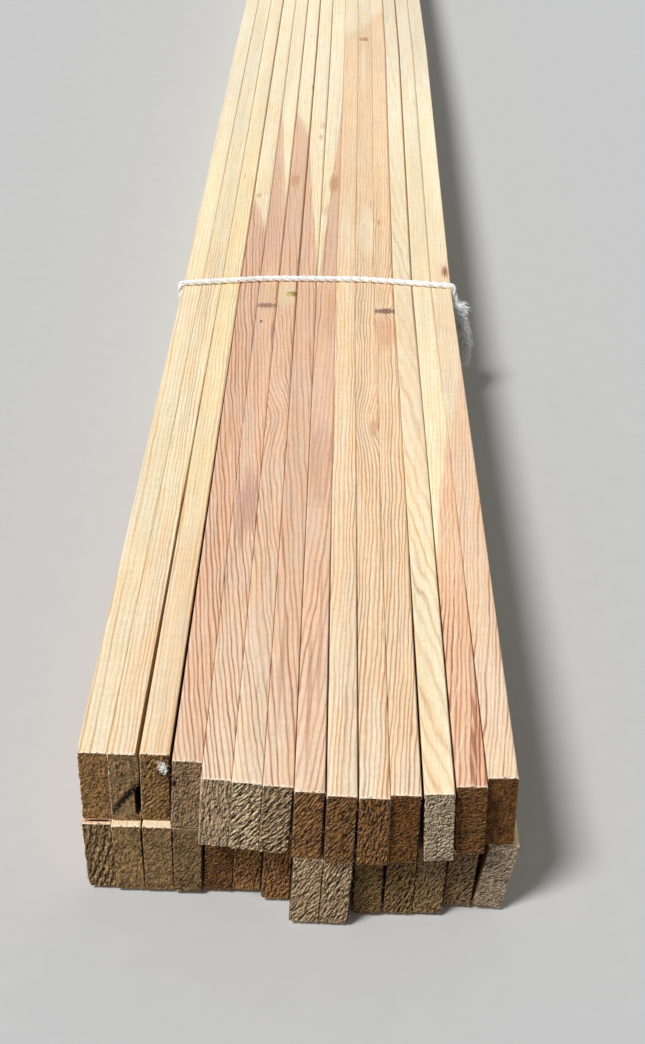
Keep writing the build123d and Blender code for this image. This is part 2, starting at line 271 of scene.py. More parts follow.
MARKS = {
    "strip_upper_02": (
        Mark(3.2, -1186, 5.5, 3, (0.34, 0.23, 0.10), 0.5, up=-13.0, half_height=9),
        Mark(0.4, -1186, 12.0, 3, (0.085, 0.030, 0.014), 0.9, up=-6.2, half_height=2.1, turn=55, ragged=1.6,
             soft=0.6),
        Mark(0.6, -1186, 11.5, 3, (0.012, 0.004, 0.003), 1.0, up=-6.2, half_height=1.3, turn=55, ragged=3.0,
             soft=0.15),
        # A black patch in the pocket at the right edge: painted shade.
        Mark(7.2, -1186, 1.9, 3, (0.012, 0.004, 0.002), 1.0, up=-8.7, half_height=9.5, soft=0.3),
        Mark(5.6, -1188, 2.4, 5, (0.20, 0.09, 0.035), 0.7, up=-18.0, half_height=4, soft=0.6),
        Mark(0, -1090, 14, 160, (0.88, 0.66, 0.45), 0.45),
    ),
    "strip_upper_03": (
        Mark(5.4, -1186, 3.8, 3, (0.04, 0.016, 0.008), 0.9, up=11.6, half_height=7.0, ragged=1.5),
        Mark(4.0, -1186, 1.8, 3, (1.0, 0.98, 0.90), 1.0, up=13.6, half_height=3.4, turn=10, ragged=2.6,
             soft=0.12),
        Mark(0, -1090, 14, 160, (0.88, 0.66, 0.45), 0.55),
    ),
    "strip_upper_04": (
        Mark(-3, -446, 3, 6, (0.62, 0.33, 0.22), 0.6),
        Mark(-1, -868, 8, 34, (0.80, 0.48, 0.28), 0.45),
        Mark(-6.0, -1192, 1.4, 3, (0.020, 0.012, 0.010), 1.0, up=7.6, half_height=2.6, ragged=0.5),
    ),
    "strip_upper_05": (
        Mark(0, -648, 10, 20, (0.76, 0.58, 0.33), 0.6),
        Mark(0, -672, 13, 5.0, (0.26, 0.13, 0.09), 0.8, 4.0, ragged=1.0),
        Mark(-3, -700, 1.2, 3, BARK, 0.9),
        Mark(6, -715, 1.4, 18, (0.30, 0.16, 0.10), 0.6),
        Mark(1, -958, 8, 50, (0.48, 0.24, 0.18), 0.6, ragged=1.2),
    ),
    "strip_upper_06": (
        Mark(-1, -650, 9, 26, (0.80, 0.66, 0.38), 0.65),
        Mark(4.0, -651, 6.0, 5.0, (0.24, 0.15, 0.035), 0.95, 3.0, ragged=0.8),
        Mark(1.4, -652, 3.6, 3.4, (0.62, 0.52, 0.18), 0.9, ragged=0.8),
        Mark(1.0, -847, 20, 22, (0.72, 0.45, 0.30), 0.1, -8.0),
        Mark(-3, -409, 5, 18, (0.66, 0.34, 0.18), 0.7, 2.0),
        Mark(7, -140, 1.6, 12, BARK, 0.6),
    ),
    "strip_upper_07": (
        Mark(3, -293, 2.4, 9, (0.70, 0.36, 0.25), 0.6),
        Mark(5, -260, 4, 14, (0.84, 0.46, 0.32), 0.6),
        Mark(-2, -1110, 1.5, 60, (0.50, 0.22, 0.12), 0.5),
    ),
    "strip_upper_08": (
        Mark(-4, -480, 4, 16, (0.80, 0.48, 0.28), 0.5),
        Mark(0, -905, 9, 60, (0.56, 0.32, 0.25), 0.4),
        Mark(3, -690, 5, 60, (0.74, 0.42, 0.22), 0.6),
        Mark(2, -415, 5, 26, (0.60, 0.32, 0.15), 0.8),
        Mark(-2, -1140, 1.6, 60, (0.56, 0.22, 0.10), 0.6),
        Mark(3, -1090, 1.4, 70, (0.60, 0.25, 0.11), 0.55),
    ),
    "strip_upper_09": (
        Mark(1, -560, 2, 90, FADED, 0.5),
        Mark(-4, -520, 1.6, 60, FADED, 0.5),
        Mark(1, -858, 5, 18, MOTTLE, 0.5, ragged=1.4),
        Mark(-4, -888, 5, 14, MOTTLE, 0.45, ragged=1.4),
        FAR_BROWN,
    ),
    "strip_upper_10": (
        Mark(0, -535, 6, 24, (0.80, 0.46, 0.30), 0.4),
        Mark(-1, 36, 6.5, 9, (0.50, 0.22, 0.10), 0.9, 2.0),
        Mark(5.0, -848, 9, 20, (0.84, 0.50, 0.27), 0.15, 7.0),
        Mark(4.0, -860, 3.2, 14, (0.60, 0.28, 0.15), 0.62),
        Mark(2, -520, 9, 60, (0.96, 0.80, 0.56), 0.7),
        Mark(-2, -60, 3, 110, (0.96, 0.80, 0.54), 0.7),
        FAR_BROWN,
    ),
    "strip_upper_11": (
        Mark(-1, -1207, 3.6, 3, (0.80, 0.46, 0.20), 0.7, up=-9.0, half_height=6.5, ragged=3.6, soft=0.15),
        Mark(0, -652, 10, 20, (0.90, 0.58, 0.32), 0.5, 5.0),
        Mark(0, -680, 14, 5.6, (0.18, 0.075, 0.06), 0.88, 3.0, ragged=1.0),
        Mark(0, -712, 10, 34, (0.72, 0.36, 0.22), 0.55),
        Mark(-3, -505, 1.6, 8, (0.70, 0.30, 0.14), 0.8),
        FAR_BROWN,
    ),
    "strip_upper_12": (
        ROSY,
        FAR_GREY,
    ),
    "strip_upper_13": (
        Mark(1.0, -1196, 1.3, 14, (0.30, 0.09, 0.05), 0.7),
        Mark(3.0, -1176, 1.6, 18, (0.28, 0.08, 0.05), 0.75),
        Mark(5.0, -1154, 1.2, 18, (0.34, 0.11, 0.06), 0.7),
        FAR_GREY,
    ),
    "strip_upper_14": (
        Mark(3.6, -606, 5.4, 20, (0.92, 0.58, 0.42), 0.62),
        Mark(3.9, -606, 2.4, 14, (0.30, 0.09, 0.05), 0.9, 2.0, ragged=1.2),
        Mark(0.5, -630, 3.5, 10, (0.86, 0.55, 0.36), 0.6),
        ROSY,
        FAR_GREY,
    ),
    "strip_lower_01": (
        # A black line at the back of the ledge, under the upper strip's end: painted shade.
        Mark(1.0, -1185.8, 7.5, 0.8, (0.015, 0.006, 0.004), 1.0, half_height=3, ragged=0.4, soft=0.3),
    ),
    "strip_lower_04": (
        # A brown patch over the ledge at the foot of the upper strip's end: painted shade.
        Mark(0, -1190, 9, 6, (0.20, 0.13, 0.07), 0.9, half_height=3),
    ),
}


# Short calls that build a node tree

class Graph:
    """A tree of shader or geometry nodes that is being put together."""

    def __init__(self, tree):
        self.tree = tree

    def add(self, kind, inputs=None, **settings):
        """Adds a node, sets it up and joins or fills its inputs."""
        node = self.tree.nodes.new(kind)
        for name, value in settings.items():
            setattr(node, name, value)
        for key, value in (inputs or {}).items():
            self.feed(node.inputs[key], value)
        return node

    def feed(self, socket, value):
        if isinstance(value, bpy.types.NodeSocket):
            self.tree.links.new(value, socket)
        elif socket.type == "RGBA" and len(value) == 3:
            socket.default_value = (*value, 1)
        else:
            socket.default_value = value

    def math(self, operation, *values):
        node = self.add("ShaderNodeMath", dict(enumerate(values)), operation=operation)
        return node.outputs[0]

    def plus(self, a, b):
        return self.math("ADD", a, b)

    def minus(self, a, b):
        return self.math("SUBTRACT", a, b)

    def times(self, a, b):
        return self.math("MULTIPLY", a, b)

    def over(self, a, b):
        return self.math("DIVIDE", a, b)

    def madd(self, a, b, c):
        """a times b, and c added."""
        return self.math("MULTIPLY_ADD", a, b, c)

    def vector(self, operation, *values, scale=None):
        inputs = dict(enumerate(values))
        if scale is not None:
            inputs["Scale"] = scale
        node = self.add("ShaderNodeVectorMath", inputs, operation=operation)
        return node.outputs[1 if operation in ("LENGTH", "DISTANCE", "DOT_PRODUCT") else 0]

    def scaled(self, vector, scale):
        return self.vector("SCALE", vector, scale=scale)

    def tinted(self, a, b):
        """Two vectors or colours multiplied part by part."""
        return self.vector("MULTIPLY", a, b)

    def moved(self, a, b):
        return self.vector("ADD", a, b)

    def apart(self, a, b):
        return self.vector("SUBTRACT", a, b)

    def turned(self, vector, angle):
        """A vector turned about the direction that runs along the strips."""
        inputs = {"Vector": vector, "Axis": (0, 1, 0), "Angle": angle}
        return self.add("ShaderNodeVectorRotate", inputs).outputs[0]

    def painted(self, name, output="Vector"):
        """A mesh's own values, read by a shader."""
        return self.add("ShaderNodeAttribute", attribute_name=name).outputs[output]

    def stored(self, name, kind="FLOAT"):
        """A mesh's own values, read by geometry nodes."""
        return self.add("GeometryNodeInputNamedAttribute", {"Name": name}, data_type=kind).outputs[0]

    def store(self, geometry, name, value, kind="FLOAT"):
        """The geometry with values of its own stored on its points."""
        inputs = {"Geometry": geometry, "Name": name, "Value": value}
        return self.add("GeometryNodeStoreNamedAttribute", inputs, data_type=kind, domain="POINT").outputs[0]

    def shift(self, geometry, offset):
        """The geometry with its points moved."""
        return self.add("GeometryNodeSetPosition", {"Geometry": geometry, "Offset": offset}).outputs[0]

    def xyz(self, x=0.0, y=0.0, z=0.0):
        return self.add("ShaderNodeCombineXYZ", {0: x, 1: y, 2: z}).outputs[0]

    def alike(self, value):
        """A vector with its three parts alike."""
        return self.xyz(value, value, value)

    def parts(self, vector):
        return self.add("ShaderNodeSeparateXYZ", {0: vector}).outputs

    def mix(self, share, a, b, blend="MIX"):
        node = self.add("ShaderNodeMix", data_type="RGBA", blend_type=blend)
        for index, value in ((0, share), (6, a), (7, b)):
            self.feed(node.inputs[index], value)
        return node.outputs[2]

    def smooth(self, value, low, high, start=0.0, end=1.0):
        """Turns smoothly from start to end as value goes from low to high."""
        node = self.add("ShaderNodeMapRange", {0: value, 1: low, 2: high, 3: start, 4: end},
                        interpolation_type="SMOOTHSTEP")
        return node.outputs[0]

    def noise(self, vector, stretch, scale, detail=2.0, roughness=0.5, distortion=0.0):
        """Noise from 0 to 1 in a vector that is first multiplied by stretch."""
        place = self.vector("MULTIPLY", vector, stretch)
        node = self.add("ShaderNodeTexNoise", {
            "Vector": place, "Scale": scale, "Detail": detail, "Roughness": roughness,
            "Distortion": distortion,
        })
        return node.outputs[0]

    def speckle(self, vector, scale, detail=2.0, roughness=0.6):
        """Noise from 0 to 1, the same in every direction."""
        return self.noise(vector, (1, 1, 1), scale, detail, roughness)

    def streaks(self, vector, across, along, detail=2.0, roughness=0.5):
        """Noise from 0 to 1 with so many cells a metre across the grain and along it."""
        return self.noise(vector, (across, along, across), 1.0, detail, roughness)

    def bump(self, shader, strength, distance, height):
        """Gives a shader a bump."""
        inputs = {"Strength": strength, "Distance": distance, "Height": height}
        self.feed(shader.inputs["Normal"], self.add("ShaderNodeBump", inputs).outputs[0])

    def ramp(self, value, *stops):
        """A smooth curve of grey through stops of (place, grey)."""
        node = self.add("ShaderNodeValToRGB", {0: value})
        band = node.color_ramp
        band.interpolation = "EASE"
        while len(band.elements) < len(stops):
            band.elements.new(0.5)
        for element, (place, grey) in zip(band.elements, stops):
            element.position = place
            element.color = (grey, grey, grey, 1)
        return node.outputs[0]


def new_object(name, data):
    """A new object in the scene."""
    made = bpy.data.objects.new(name, data)
    bpy.context.scene.collection.objects.link(made)
    return made


def material(name):
    """A new material with its tree cleared of all but a shader and an output."""
    made = bpy.data.materials.new(name)
    made.use_nodes = True
    made.node_tree.nodes.clear()
    graph = Graph(made.node_tree)
    shader = graph.add("ShaderNodeBsdfPrincipled")
    graph.add("ShaderNodeOutputMaterial", {"Surface": shader.outputs[0]})
    return made, graph, shader


# The log that each strip was sawn from


def ring_place(g, log, look, marks):
    """How many rings from the pith each point lies, with the grain's wander, slope and knots."""
    x, run, z = g.parts(log)
    across = g.vector("LENGTH", g.xyz(x, 0.0, z))
    wander = g.streaks(log, 14, 1.5, 1.0)
    ripple = g.streaks(log, 45, 9.0)
    flutter = g.streaks(log, 110, 24.0)
    place = g.madd(wander, look.wave * 5 * MM, across)
    place = g.madd(ripple, look.wave * 1.8 * MM, place)
    place = g.madd(flutter, look.wave * 1.9 * MM, place)
    fade = g.math("EXPONENT", g.times(run, -1 / look.bend))
    place = g.madd(fade, look.slope * cos(radians(look.radial)) * look.bend, place)
    for mark, reach in marks:
        if mark.bulge:
            near = g.math("EXPONENT", g.times(g.times(reach, reach), -0.35))
            place = g.madd(near, mark.bulge * MM, place)
    return g.over(place, look.rings * MM)


def reaches(g, log, name, look, near_y):
    """For each mark on a strip, how far a point is from its middle, as a share of its size."""
    offset = pith_offset(look)
    found = []
    for mark in MARKS.get(name, ()):
        middle = (offset[0] + mark.across * MM, mark.along * MM - near_y, offset[1] + mark.up * MM)
        away = g.apart(log, middle)
        if mark.turn:
            away = g.turned(away, radians(mark.turn))
        size = [1000 / mark.half_width, 1000 / mark.half_length, 1000 / mark.half_height]
        found.append((mark, g.vector("LENGTH", g.tinted(away, size))))
    return found


def marked(g, colour, marks, rough):
    """The colour with the marks laid over it, their edges frayed by a noise."""
    for mark, reach in marks:
        ragged = g.madd(g.minus(rough, 0.5), mark.ragged * 1.6, reach)
        colour = g.mix(g.smooth(ragged, 1.15 - mark.soft, 1.15, mark.strength, 0.0), colour, mark.colour)
    return colour


def pith_offset(look):
    """From the pith to the middle of a strip's section, across and up, in metres."""
    return look.pith * MM * cos(radians(look.radial)), look.pith * MM * sin(radians(look.radial))


def planed_pine(name, look, near_y):
    """Planed pine, with rings, fibres and colour that follow the strip's place in its log."""
    made, g, shader = material(f"planed_pine_{name}")
    log = g.painted("log")
    x, run, z = g.parts(log)
    marks = reaches(g, log, name, look, near_y)
    ring = ring_place(g, log, look, marks)
    uneven = g.noise(g.xyz(ring, 0.0, 0.0), (0.37, 1, 1), 1.0, 2.0)
    ring = g.madd(uneven, 1.6, ring)
    late = g.ramp(g.math("FRACT", ring), (0.0, 0.30), (0.18, 0.03), (0.50, 0.10), (0.80, 1.0), (1.0, 0.30))
    year = g.add("ShaderNodeTexWhiteNoise", {"W": g.math("FLOOR", ring)}, noise_dimensions="1D").outputs[0]
    strength = g.madd(year, 0.75, 0.45)
    patchy = g.streaks(log, 35, 3.0)
    strength = g.times(strength, g.smooth(patchy, 0.25, 0.62, 0.6, 1.2))
    fading = g.streaks(log, 170, 13)
    strength = g.times(strength, g.smooth(fading, 0.32, 0.62, 0.70, 1.20))
    late = g.times(g.times(late, strength), look.contrast)
    late = g.times(late, g.smooth(run, 0.52, 0.90, 1.0, 0.45))
    if look.calm:
        late = g.times(late, g.smooth(run, 0.09, 0.20, 1.0, 1.0 - look.calm))

    fibre = g.streaks(log, 2600, 40, 2.0, 0.6)
    pore = g.streaks(log, 900, 16, 2.0, 0.6)
    broad = g.streaks(log, 40, 2.2)

    (sap, sap_line), (heart, heart_line) = WOODS[look.sap], WOODS[look.heart]
    left, right = look.heart_to
    across = g.minus(x, pith_offset(look)[0])
    edge = g.madd(across, (right - left) / THICKNESS, (left + right) / 2 * MM - near_y)
    edge = g.madd(g.minus(broad, 0.5), 0.16, edge)
    edge = g.madd(g.minus(pore, 0.5), 0.05, edge)
    inside = g.smooth(g.minus(run, edge), -0.016, 0.016, 1.0, 0.0)
    # near is how much paler the colour is made toward the near end.
    near = g.times(g.math("EXPONENT", g.times(run, -1 / PALE_RUN)), look.pale)
    far = g.times(g.smooth(run, 0.70, 1.10), 0.5)
    early = g.mix(near, g.mix(inside, g.mix(far, sap, FADED), g.mix(far, heart, WOODS["tan"][0])), NEAR_END_PALE)
    stains = [found for found in marks if found[0].half_length > 11 and found[0].strength < 0.65]
    early = marked(g, early, stains, pore)
    hue = g.streaks(log, 110, 16)
    line = g.mix(inside, sap_line, heart_line)
    line = g.tinted(line, g.mix(g.smooth(hue, 0.4, 0.6), (0.96, 1.02, 1.08), (1.08, 0.98, 0.92)))
    colour = g.mix(late, early, line)
    colour = g.tinted(colour, g.mix(g.smooth(hue, 0.35, 0.65), (0.99, 1.01, 1.04), (1.0, 0.975, 0.93)))
    if look.calm:
        slanted = g.moved(log, g.xyz(g.times(run, -0.2), 0.0, 0.0))
        streak = g.streaks(slanted, 520, 20)
        colour = g.mix(g.smooth(streak, 0.56, 0.72, 0.0, look.calm * 0.7), colour, MOTTLE)
    nibble = g.noise(log, (1, 0.5, 1), 430.0, 2.0, 0.6)
    tip = g.madd(g.minus(nibble, 0.5), -5.0 * MM, run)
    colour = g.mix(g.smooth(tip, 0.5 * MM, 1.4 * MM, 0.5, 0.0), colour, (1.0, 0.93, 0.80))
    bite = g.minus(run, g.smooth(nibble, 0.50, 0.66, 0.0, 1.5 * MM))
    colour = g.mix(g.smooth(bite, -0.3 * MM, 0.0, 0.8, 0.0), colour, ENDS[look.end][0])
    colour = marked(g, colour, [found for found in marks if found not in stains], pore)
    colour = worn(g, colour, log, look)
    tint = g.smooth(broad, 0.3, 0.7, 0.90, 1.03)
    for layer, low, high, start, end in (
        (fibre, 0.2, 0.8, 0.92, 1.06),
        (pore, 0.2, 0.8, 0.93, 1.05),
        (g.streaks(log, 90, 260, 1.0), 0.3, 0.7, 0.975, 1.02),
        (g.streaks(log, 620, 22, 1.0), 0.70, 0.80, 1.0, 0.72),
        (g.streaks(log, 1100, 330, 2.0, 0.7), 0.3, 0.7, 0.93, 1.055),
    ):
        tint = g.times(tint, g.smooth(layer, low, high, start, end))
    colour = g.scaled(colour, tint)
    g.feed(shader.inputs["Base Color"], colour)
    g.feed(shader.inputs["Roughness"], g.smooth(late, 0.0, 1.0, 0.62, 0.48))
    shader.inputs["Specular IOR Level"].default_value = 0.35
    height = g.madd(fibre, 0.5, g.times(late, 0.4))
    g.bump(shader, 0.25, 0.12 * MM, height)
    return made


def worn(g, colour, log, look):
    """The colour with torn places browned, deep ones nearly black as painted shade, and painted shade at
    seams.
    """
    torn = g.painted("torn", "Fac")
    colour = g.mix(g.smooth(torn, 0.15, 0.6, 0.0, 0.85), colour, (0.42, 0.23, 0.11))
    # Deep torn places are painted nearly black: painted shade in their hollows.
    colour = g.mix(g.smooth(torn, 0.9, 1.7, 0.0, 1.0), colour, (0.020, 0.008, 0.003))
    x, run, z = g.parts(g.apart(log, (pith_offset(look)[0], 0, pith_offset(look)[1])))
    # Painted shade on the strip's left and right sides in the seams between strips, less farther along.
    left, right, far = look.seams
    seam_shade = g.plus(g.smooth(x, -7.45 * MM, -7.25 * MM, left, 0.0),
                   g.smooth(x, 7.25 * MM, 7.45 * MM, 0.0, right))
    seam_shade = g.times(seam_shade, g.smooth(z, 18 * MM, 22 * MM, 1.0, 0.0))
    seam_shade = g.times(seam_shade, g.smooth(run, 0.12, 0.28, 1.0, far))
    colour = g.mix(seam_shade, colour, g.tinted(colour, (0.17, 0.10, 0.07)))
    # Painted shade on the top's right edge near the end, beside the seam.
    if look.edge:
        shaded = g.smooth(x, 6.85 * MM, 7.2 * MM, 0.0, look.edge)
        shaded = g.times(shaded, g.smooth(run, 0.10, 0.34, 1.0, 0.25))
        shaded = g.times(shaded, g.smooth(z, 22.0 * MM, 22.2 * MM))
        colour = g.mix(shaded, colour, g.tinted(colour, (0.10, 0.06, 0.045)))
    # Painted shade in a band along the top's right arris farther along, beside the seam.
    if look.arris:
        arris_shade = g.times(g.smooth(x, 5.6 * MM, 6.6 * MM, 0.0, look.arris), g.smooth(run, 0.3, 0.6))
        colour = g.mix(arris_shade, colour, g.tinted(colour, (0.46, 0.30, 0.20)))
    return colour


def sawn_end(name, look, near_y):
    """Rough sawn end grain: painted shade in its pits, pale torn fibres, painted highlights on the upper
    left.
    """
    made, g, shader = material(f"sawn_end_{name}")
    log = g.painted("log")
    relief = g.painted("relief", "Fac")
    rim = g.painted("rim", "Fac")
    raised, sunk = ([c * look.tone for c in tone] for tone in ENDS[look.end])
    x, _, z = g.parts(log)
    grit = g.speckle(log, 1000.0)
    coarse = g.speckle(log, 480.0)
    cloud = g.speckle(log, 130.0, 3.0, 0.65)

    def roughness(place):
        turned = g.turned(place, radians(look.cut))
        small = g.noise(turned, (look.drawn, 1.0, 1.0), 820.0, 3.0, 0.62)
        return g.madd(g.noise(turned, (look.drawn, 1.0, 1.0), 380.0, 1.0), 0.6, small)

    rough = roughness(log)
    # lit is how much the grain faces the light from the upper left, for painted light and shade.
    lit = g.minus(rough, roughness(g.moved(log, (-0.34 * MM, 0, 0.38 * MM))))
    height = g.madd(g.minus(rough, 0.8), 0.9, relief)
    # Sunk places take the dark sunk colour: painted shade in the pits and grooves.
    middle = [c * 0.62 for c in raised]
    colour = g.mix(g.smooth(height, -0.05, 0.45), sunk, middle)
    colour = g.mix(g.smooth(height, 0.45, 1.15), colour, raised)
    hue = g.speckle(log, 230.0)
    colour = g.tinted(colour, g.mix(g.smooth(hue, 0.3, 0.7), (0.97, 1.0, 1.03), (1.05, 1.0, 0.90)))
    # Sparse pale flecks: painted highlights on torn fibres.
    fleck = [min(c * 1.5 + raised[0] * 0.38, 0.95) for c in raised]
    spark = g.speckle(log, 1000.0, 1.0, 0.5)
    colour = g.mix(g.smooth(spark, 0.67, 0.74, 0.0, 0.8), colour, fleck)
    # Sparse dark specks: painted shade in small pits.
    speck = g.speckle(log, 760.0, 1.0, 0.5)
    colour = g.mix(g.smooth(speck, 0.28, 0.35, 0.9, 0.0), colour, [c * 0.7 for c in sunk])
    ring = g.math("FRACT", ring_place(g, log, look, []))
    # Along the rings: a painted highlight on each crest, and a dark line, partly painted shade in the groove.
    whole = g.smooth(g.speckle(log, 260.0), 0.34, 0.58, look.lines * 0.3, look.lines)
    crest = g.ramp(ring, (0.0, 0.3), (0.18, 1.0), (0.45, 0.15), (0.75, 0.0), (1.0, 0.3))
    colour = g.scaled(colour, g.madd(g.times(crest, whole), 0.7, 1.0))
    line = g.ramp(ring, (0.0, 0.2), (0.2, 0.0), (0.62, 0.1), (0.82, 1.0), (1.0, 0.2))
    colour = g.mix(g.times(line, whole), colour, [c * 0.6 for c in sunk])
    upright = g.noise(log, (1, 1, 0.2), 850.0, 2.0, 0.6)
    colour = g.scaled(colour, g.smooth(upright, 0.34, 0.66, 0.76, 1.24))
    colour = g.scaled(colour, g.smooth(cloud, 0.3, 0.7, 0.72, 1.26))
    above = g.minus(pith_offset(look)[1] + HALF_WIDTH, z)
    below = g.madd(g.minus(coarse, 0.5), 2.4 * MM, above)
    colour = g.mix(g.smooth(below, 0.5 * MM, 2.2 * MM, 0.55, 0.0), colour, sunk)
    # Painted light and shade: grains facing the upper left are lightened toward a painted highlight, the
    # others darkened.
    lit = g.times(lit, look.emboss)
    colour = g.scaled(colour, g.smooth(lit, -0.24, 0.10, 0.16, 1.22))
    bright = [min(c * 1.45 + raised[0] * 0.27, 0.95) for c in raised]
    colour = g.mix(g.smooth(lit, 0.02, 0.28, 0.0, 0.62), colour, bright)
    # Pale torn fibres along the rim, strongest on the top and left: partly a painted highlight on the
    # arrises.
    fray = g.madd(g.minus(grit, 0.5), 2.6, rim)
    fray = g.madd(g.minus(g.speckle(log, 160.0, 2.0, 0.5), 0.45), 3.0, fray)
    colour = g.mix(g.smooth(fray, 0.15, 0.80, 0.9, 0.0), colour, [min(c * 1.9 + 0.06, 0.95) for c in raised])
    found = [(mark, reach) for mark, reach in reaches(g, log, name, look, near_y) if mark.half_length < 40]
    colour = marked(g, colour, found, grit)
    # Painted shade on the end beside its right edge.
    if look.gap:
        off = g.minus(pith_offset(look)[0] + HALF_THICKNESS, x)
        off = g.madd(g.minus(coarse, 0.5), 1.2 * MM, off)
        colour = g.mix(g.smooth(off, 0.35 * MM, 0.95 * MM, 0.95, 0.0), colour, (0.012, 0.005, 0.003))
    colour = worn(g, colour, log, look)
    g.feed(shader.inputs["Base Color"], colour)
    shader.inputs["Roughness"].default_value = 0.9
    shader.inputs["Specular IOR Level"].default_value = 0.15
    g.bump(shader, 1.0, 0.8 * MM, height)
    return made


def fibre_material(name, colour):
    """Short torn fibres, a little uneven in tone."""
    made, g, shader = material(name)
    spot = g.add("ShaderNodeTexCoord").outputs["Object"]
    uneven = g.speckle(spot, 300.0)
    g.feed(shader.inputs["Base Color"],
           g.mix(uneven, [c * 0.85 for c in colour], [min(c * 1.1, 1) for c in colour]))
    shader.inputs["Roughness"].default_value = 0.7
    return made


# The strips' shapes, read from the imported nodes

# The grid on a sawn end, and how far its corners are eased, in millimetres
CELLS_ACROSS = 22
CELLS_UP = 66
EASED = 0.2

# The points of a packed section, and its straight side: at least how high, how long and how exactly
STATION_POINTS = 6
SIDE_RISE = 0.042
SIDE_LENGTH = 44 * MM
SIDE_SLACK = 0.03 * MM

# Rings of points at these distances from the near end, in millimetres, and at least how far apart
END_ROWS = (1.0, 2.2, 4.5, 9, 18, 36, 70, 120, 200, 300)
CLOSEST_ROWS = 0.3 * MM

# The parts of a strip's length that lie one above the other on its map
SEGMENTS = 5

# How far from the near end a strip can be torn, and how far off the solid a torn point lies at least
TORN_REACH = 0.36
TORN_OFF = 0.16 * MM

# A point's depth from the end's rim where it isn't on an end, and the height that fibres stay above
DEEP = 9.0
BARE_BELOW = 6 * MM


def stations(node):
    """A node's sections along the bundle: place along it, middle, and the unit vectors across and up."""
    corners = np.unique(np.round([v.co[:] for v in node.data.vertices], 6), axis=0)
    found = []
    for along in np.unique(corners[:, 1]):
        flat = corners[corners[:, 1] == along][:, (0, 2)]
        if len(flat) < STATION_POINTS:
            continue
        gaps = flat[:, None, :] - flat[None, :, :]
        spans = np.hypot(gaps[..., 0], gaps[..., 1])
        steep = (np.abs(gaps[..., 1]) > 0.9 * spans) & (gaps[..., 1] > SIDE_RISE)
        straight = steep & (np.abs(spans - SIDE_LENGTH) < SIDE_SLACK)
        if not straight.any():
            continue
        top, low = np.argwhere(straight)[0]
        up = (flat[top] - flat[low]) / spans[top, low]
        right = np.array((up[1], -up[0]))
        inward = np.sign((flat.mean(0) - flat[low]) @ right)
        middle = (flat[top] + flat[low]) / 2 + right * inward * (THICKNESS / 2) * MM
        found.append((along, middle, right, up))
    return found


def section_at(sections, along):
    """The middle and the vectors across and up at a place along a strip."""
    for first, last in zip(sections, sections[1:]):
        if along <= last[0] or last is sections[-1]:
            share = (along - first[0]) / (last[0] - first[0])
            return [a + (b - a) * share for a, b in zip(first[1:], last[1:])]


def room(name, along):
    """The gap at the top between a strip and the one to its right."""
    edges = []
    for side, strip in ((1, name), (-1, STRIPS[STRIPS.index(name) + 1])):
        middle, right, up = section_at(stations(frame["nodes"][strip]), along)
        edges.append(middle[0] + side * right[0] * (THICKNESS / 2) * MM + up[0] * (WIDTH / 2) * MM)
    return max(edges[1] - edges[0], 0.0)


def rows_along(sections):
    """Where a strip's rings of points lie along it: close together at the ends and at each station."""
    near, far = sections[0][0], sections[-1][0]
    rows = {near, far, *(s[0] for s in sections)}
    rows.update(near + run * MM for run in END_ROWS)
    rows.update(far - run * MM for run in END_ROWS[:2])
    rows.update(near + (far - near) * k / SEGMENTS for k in range(1, SEGMENTS))
    kept = []
    for row in sorted(rows):
        if not kept or row - kept[-1] > CLOSEST_ROWS:
            kept.append(row)
    return kept


def outline_cells():
    """The cells of the section's outline, anticlockwise from the near end's lower left."""
    low = [(i, 0) for i in range(CELLS_ACROSS)]
    right = [(CELLS_ACROSS, j) for j in range(CELLS_UP)]
    high = [(i, CELLS_UP) for i in range(CELLS_ACROSS, 0, -1)]
    left = [(0, j) for j in range(CELLS_UP, 0, -1)]
    return low + right + high + left


def section_point(i, j):
    """A grid cell's place across and up the section, with the corners eased."""
    across = (i / CELLS_ACROSS - 0.5) * THICKNESS
    up = (j / CELLS_UP - 0.5) * WIDTH
    if i in (0, CELLS_ACROSS) and j in (0, CELLS_UP):
        across, up = across * (1 - EASED / (THICKNESS / 2)), up * (1 - EASED / (WIDTH / 2))
    return across, up


def end_attributes(outline, grid, sections, rows, points):
    """For each point, the direction it is cut in on a sawn end and how deep it lies inside the end's rim."""
    around = len(outline)
    sawn = np.zeros((len(points), 3))
    depth = np.full(len(points), DEEP)
    for start, ring_row, facing in end_starts(len(rows), around, len(grid)):
        sawn[start: start + len(grid)] = (0, facing, 0)
        _, right, up = section_at(sections, rows[ring_row])
        for k, (i, j) in enumerate(outline):
            depth[ring_row * around + k] = 0.0 if j == CELLS_UP or i == 0 else 0.3 if j == 0 else 0.6
            away = np.array(((i == CELLS_ACROSS) - (i == 0), (j == CELLS_UP) - (j == 0))) * 0.9
            out = away[0] * right + away[1] * up
            sawn[ring_row * around + k] = (out[0], facing * 0.8, out[1])
        for k, (i, j) in enumerate(grid):
            depth[start + k] = min(0.65 * (CELLS_UP - j), 0.7 * i, 1.5 * (CELLS_ACROSS - i) + 0.6,
                                   0.8 * j + 0.3)
    return sawn, depth


def end_starts(rows, around, inside):
    """For each end, its first inner point, its ring of points and the way it faces."""
    return (rows * around, 0, -1), (rows * around + inside, rows - 1, 1)


